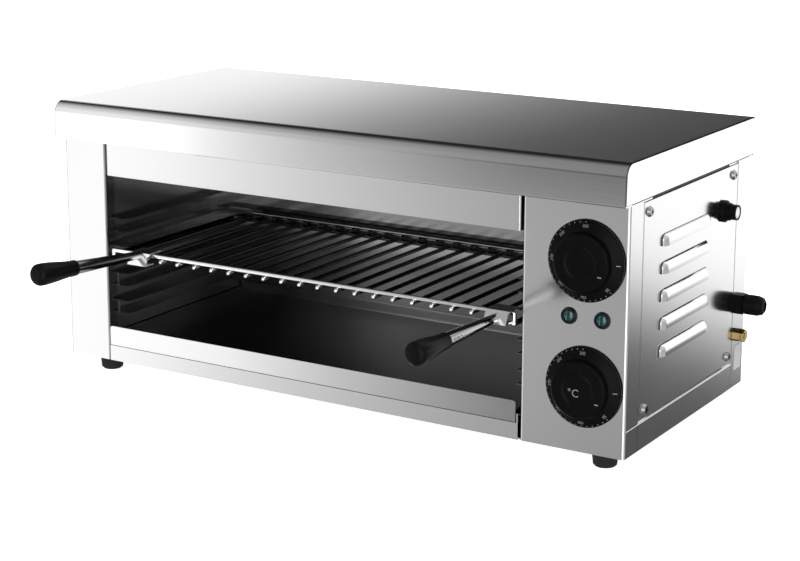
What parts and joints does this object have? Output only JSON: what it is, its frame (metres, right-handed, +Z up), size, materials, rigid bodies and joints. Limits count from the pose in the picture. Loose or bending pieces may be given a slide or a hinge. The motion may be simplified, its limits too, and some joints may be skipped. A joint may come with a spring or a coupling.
{
  "type": "electric salamander grill",
  "caption": "Table-top electric salamander grill with a bent sheet steel cabinet, a sliding wire rack with handles, a crumb tray and two thermostat dials.",
  "frame": {"origin": "middle of the whole outline seen from above, on the surface that the feet stand on", "axes": "+X to the right towards the controls, -Y to the front with the handles, +Z up"},
  "size_m": [0.6264, 0.4108, 0.265],
  "materials": {
    "satin_steel": "satin",
    "oven_steel": "satin",
    "bright_steel": "polished",
    "fibre": "matt",
    "element_steel": "oxidised",
    "zinc_steel": "zinc plated",
    "brass": "plain",
    "ceramic": "glazed",
    "switch_plastic": "matt",
    "copper": "plain",
    "black_plastic": "semi gloss",
    "green_lens": "gloss",
    "black_rubber": "matt",
    "plate_white": "satin",
    "chrome_wire": "polished",
    "sleeve_steel": "satin"
  },
  "bodies": {
    "cabinet": {"left_side_panel": "satin_steel", "back_panel": "satin_steel", "base_pan": "satin_steel", "control_panel": "satin_steel", "upper_fascia": "satin_steel", "service_panel": "satin_steel", "lid": "satin_steel", "oven_left_wall": "oven_steel", "oven_right_wall": "oven_steel", "oven_floor": "oven_steel", "left_runners": "oven_steel", "right_runners": "oven_steel", "oven_back_wall": "bright_steel", "oven_roof": "bright_steel", "heat_shield": "bright_steel", "insulation_board": "fibre", "heating_element_front": "element_steel", "heating_element_rear": "element_steel", "element_hangers": "zinc_steel", "thermostat_screws": "zinc_steel", "service_panel_screws": "zinc_steel", "case_screws": "zinc_steel", "foot_screws": "zinc_steel", "element_bushings": "brass", "bonding_stud": "brass", "bonding_nuts": "brass", "element_terminals": "ceramic", "terminal_block": "ceramic", "thermostat_upper": "switch_plastic", "thermostat_lower": "switch_plastic", "sensor_upper": "copper", "sensor_lower": "copper", "left_lamp_bezel": "black_plastic", "right_lamp_bezel": "black_plastic", "reset_thermostat": "black_plastic", "reset_collar": "black_plastic", "gland_body": "black_plastic", "gland_cap_nut": "black_plastic", "gland_locknut": "black_plastic", "left_lamp_lens": "green_lens", "right_lamp_lens": "green_lens", "gland_seal": "black_rubber", "foot_front_left": "black_rubber", "foot_front_right": "black_rubber", "foot_rear_left": "black_rubber", "foot_rear_right": "black_rubber", "rating_plate": "plate_white"},
    "rack": {"rack_frame": "chrome_wire", "rack_bars": "chrome_wire", "handle_brackets": "chrome_wire", "handle_sleeves": "sleeve_steel", "handle_grips": "black_plastic", "handle_tie_rods": "zinc_steel"},
    "crumb_tray": {"crumb_tray": "oven_steel"},
    "dial_upper": {"dial_upper": "black_plastic", "shaft_upper": "zinc_steel"},
    "dial_lower": {"dial_lower": "black_plastic", "shaft_lower": "zinc_steel"},
    "reset_button": {"reset_button": "black_plastic"}
  },
  "joints": [
    {"name": "rack_slide", "type": "slide", "parent": "cabinet", "child": "rack", "axis": [0, -1, 0], "range_m": [0, 0.17]},
    {"name": "tray_slide", "type": "slide", "parent": "cabinet", "child": "crumb_tray", "axis": [0, -1, 0], "range_m": [0, 0.18]},
    {"name": "upper_dial_turn", "type": "hinge", "parent": "cabinet", "child": "dial_upper", "pos_m": [0.2502, -0.06094, 0.1785], "axis": [0, 1, 0], "range_deg": [0, 270]},
    {"name": "lower_dial_turn", "type": "hinge", "parent": "cabinet", "child": "dial_lower", "pos_m": [0.2502, -0.06094, 0.07], "axis": [0, 1, 0], "range_deg": [0, 270]},
    {"name": "reset_press", "type": "slide", "parent": "cabinet", "child": "reset_button", "axis": [-1, 0, 0], "range_m": [0, 0.003], "stiffness_N_per_m": 400, "springref_m": -0.002}
  ]
}
